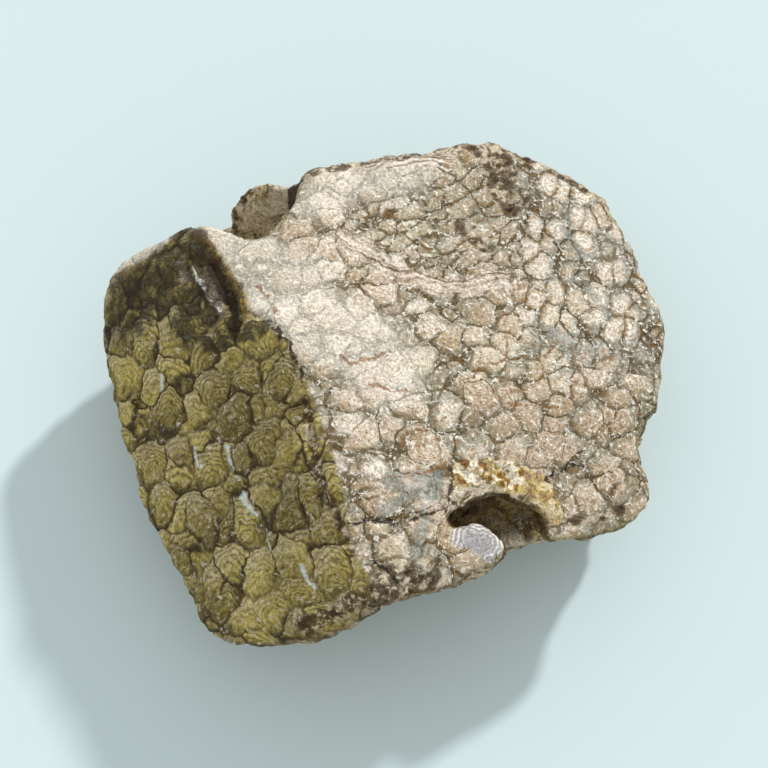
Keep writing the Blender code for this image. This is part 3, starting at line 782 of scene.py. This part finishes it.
def limestone_material(sizes, colours):
    """Algal limestone, broken by a hammer and not polished, so it is matt with a fine sugary grain."""
    material = bpy.data.materials.new("algal_limestone_broken")
    material.use_nodes = True
    tree = material.node_tree
    surface = tree.nodes["Principled BSDF"]
    tone = {name: (*getattr(colours, name), 1) for name in StoneColours.__annotations__}
    zone = {}
    for name in ["flank", "side", "bowl", "right", "nodule", "cavity", *MARKS]:
        zone[name] = add(tree, "ShaderNodeAttribute", attribute_name=name).outputs["Fac"]
    place = add(tree, "ShaderNodeTexCoord").outputs["Object"]
    place = add(tree, "ShaderNodeVectorMath", {0: place, "Scale": 1 / MM}, operation="SCALE")
    noises = shared_noises(tree, place)
    bent, ragged = noises["bent"], noises["ragged"]
    heads = {name: cut_heads(tree, bent, shape) for name, shape in head_shapes(sizes).items()}

    crown = crown_heads(tree, bent, heads, zone)
    stone = crown_colour(tree, sizes, tone, zone, noises, crown)
    along = add(tree, "ShaderNodeMath", {0: zone["flank"], 1: zone["side"]}, operation="MAXIMUM")
    stone = blend(tree, along, (0, 1), 1, stone, flank_colour(tree, sizes, tone, zone, noises, heads["flank"]))
    amount = add(tree, "ShaderNodeMath", {0: ragged, 1: 2, 2: zone["layered"]}, operation="MULTIPLY_ADD")
    stone = blend(tree, amount, (0.3, 0.8), 0.65, stone, layered_colour(tree, tone, noises))
    stone = with_marks(tree, tone, zone, noises, stone)
    amount = add(tree, "ShaderNodeMath", {0: ragged, 1: 1.5, 2: zone["nodule"]}, operation="MULTIPLY_ADD")
    amount = add(tree, "ShaderNodeMath", {0: amount, 1: zone["nodule"]}, operation="MULTIPLY")
    stone = blend(tree, amount, (0.15, 0.7), 0.95, stone, agate_colour(tree, tone, noises))

    # Cracks and veins, and two lines of painted shadow, only on the fresh fractures.
    fresh = add(tree, "ShaderNodeMath", {0: 1, 1: zone["side"]}, operation="SUBTRACT")
    drawn = ((RUSTS, 0.4, "rust", 0.7), (VEINS, 0.55, "calcite", 0.8), (CRACKS_AND_SHADOWS, 0.45, "soot_and_shade", 0.9))
    for lines, soft, colour, share in drawn:
        amount = line_amount(tree, bent, lines, soft, ragged)
        amount = add(tree, "ShaderNodeMath", {0: amount, 1: fresh}, operation="MULTIPLY")
        stone = blend(tree, amount, (0, 1), share, stone, tone[colour])

    # Paler and darker grains, which stand out by about a tenth of a millimetre.
    light = add(tree, "ShaderNodeMapRange", {0: noises["grain"], 1: 0.35, 2: 0.65, 3: 0.7, 4: 1.32})
    stone = add(tree, "ShaderNodeVectorMath", {0: stone, "Scale": light}, operation="SCALE")
    tree.links.new(stone.outputs[0], surface.inputs["Base Color"])
    height = add(tree, "ShaderNodeMath", {0: noises["fleck"], 1: 0.35}, operation="MULTIPLY")
    height = add(tree, "ShaderNodeMath", {0: noises["grain"], 1: 0.2, 2: height}, operation="MULTIPLY_ADD")
    bump = add(tree, "ShaderNodeBump", {"Height": height, "Distance": MM, "Strength": 1})
    tree.links.new(bump.outputs[0], surface.inputs["Normal"])
    surface.inputs["Roughness"].default_value = 0.82
    surface.inputs["Specular IOR Level"].default_value = 0.35
    return material


class STONE_OT_block(bpy.types.Operator):
    """Makes the detailed block of algal limestone in place of the plain one"""

    bl_idname = "stone.block"
    bl_label = "Limestone block"

    def execute(self, context):
        sizes, colours = context.scene.stone_sizes, context.scene.stone_colours
        piece = base_copy(sizes)
        smooth_and_split(piece)
        carve(piece, sizes)
        piece.data.materials.clear()
        piece.data.materials.append(limestone_material(sizes, colours))
        piece.data.shade_smooth()
        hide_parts(NODE)
        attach(piece, "root")
        return {"FINISHED"}


class STONE_OT_stage(bpy.types.Operator):
    """Makes the pale floor, the light and the camera of the photograph"""

    bl_idname = "stone.stage"
    bl_label = "Stage"

    def execute(self, context):
        scene, stage = context.scene, context.scene.stone_stage
        bm = bmesh.new()
        bmesh.ops.create_grid(bm, x_segments=1, y_segments=1, size=FLOOR_HALF)
        mesh = bpy.data.meshes.new("floor")
        bm.to_mesh(mesh)
        bm.free()
        floor = bpy.data.objects.new("floor", mesh)
        scene.collection.objects.link(floor)
        card = bpy.data.materials.new("matt_card")
        card.use_nodes = True
        surface = card.node_tree.nodes["Principled BSDF"]
        surface.inputs["Base Color"].default_value = (*stage.floor, 1)
        surface.inputs["Roughness"].default_value = 0.9
        floor.data.materials.append(card)

        key = bpy.data.objects.new("key_light", bpy.data.lights.new("key_light", "SUN"))
        scene.collection.objects.link(key)
        key.data.energy = stage.key
        key.data.angle = LIGHT_WIDTH
        key.rotation_mode = "QUATERNION"
        key.rotation_quaternion = LIGHT_FROM.to_track_quat("Z", "Y")
        scene.world = bpy.data.worlds.new("studio")
        scene.world.use_nodes = True
        sky = scene.world.node_tree.nodes["Background"]
        sky.inputs["Color"].default_value = (1, 1, 1, 1)
        sky.inputs["Strength"].default_value = stage.fill
        scene.view_settings.view_transform = "Standard"

        camera = bpy.data.objects.new("camera", bpy.data.cameras.new("camera"))
        scene.collection.objects.link(camera)
        back = Vector((0, -math.cos(CAMERA_ELEVATION), math.sin(CAMERA_ELEVATION)))
        camera.location = CAMERA_AIM + back * CAMERA_DISTANCE
        camera.rotation_mode = "QUATERNION"
        camera.rotation_quaternion = (-back).to_track_quat("-Z", "Y")
        camera.data.lens = 100
        camera.data.sensor_width = 36
        camera.data.clip_start = 0.01
        scene.camera = camera
        return {"FINISHED"}


class STONE_PT_panel(bpy.types.Panel):
    """Lists the block's sizes and colours, and what makes it"""

    bl_idname = "STONE_PT_panel"
    bl_label = "Algal limestone"
    bl_space_type = "VIEW_3D"
    bl_region_type = "UI"
    bl_category = "Algal limestone"

    def draw(self, context):
        scene = context.scene
        for group in (scene.stone_sizes, scene.stone_colours, scene.stone_stage):
            box = self.layout.box()
            for name in group.__annotations__:
                box.prop(group, name)
        self.layout.operator(STONE_OT_block.bl_idname)
        self.layout.operator(STONE_OT_stage.bl_idname)


CLASSES = (StoneSizes, StoneColours, StageSettings, STONE_OT_block, STONE_OT_stage, STONE_PT_panel)


def register():
    for made in CLASSES:
        bpy.utils.register_class(made)
    bpy.types.Scene.stone_sizes = bpy.props.PointerProperty(type=StoneSizes)
    bpy.types.Scene.stone_colours = bpy.props.PointerProperty(type=StoneColours)
    bpy.types.Scene.stone_stage = bpy.props.PointerProperty(type=StageSettings)


def unregister():
    del bpy.types.Scene.stone_stage
    del bpy.types.Scene.stone_colours
    del bpy.types.Scene.stone_sizes
    for made in reversed(CLASSES):
        bpy.utils.unregister_class(made)


def main():
    register()
    bpy.ops.stone.stage()
    bpy.ops.stone.block()


if __name__ == "__main__":
    main()
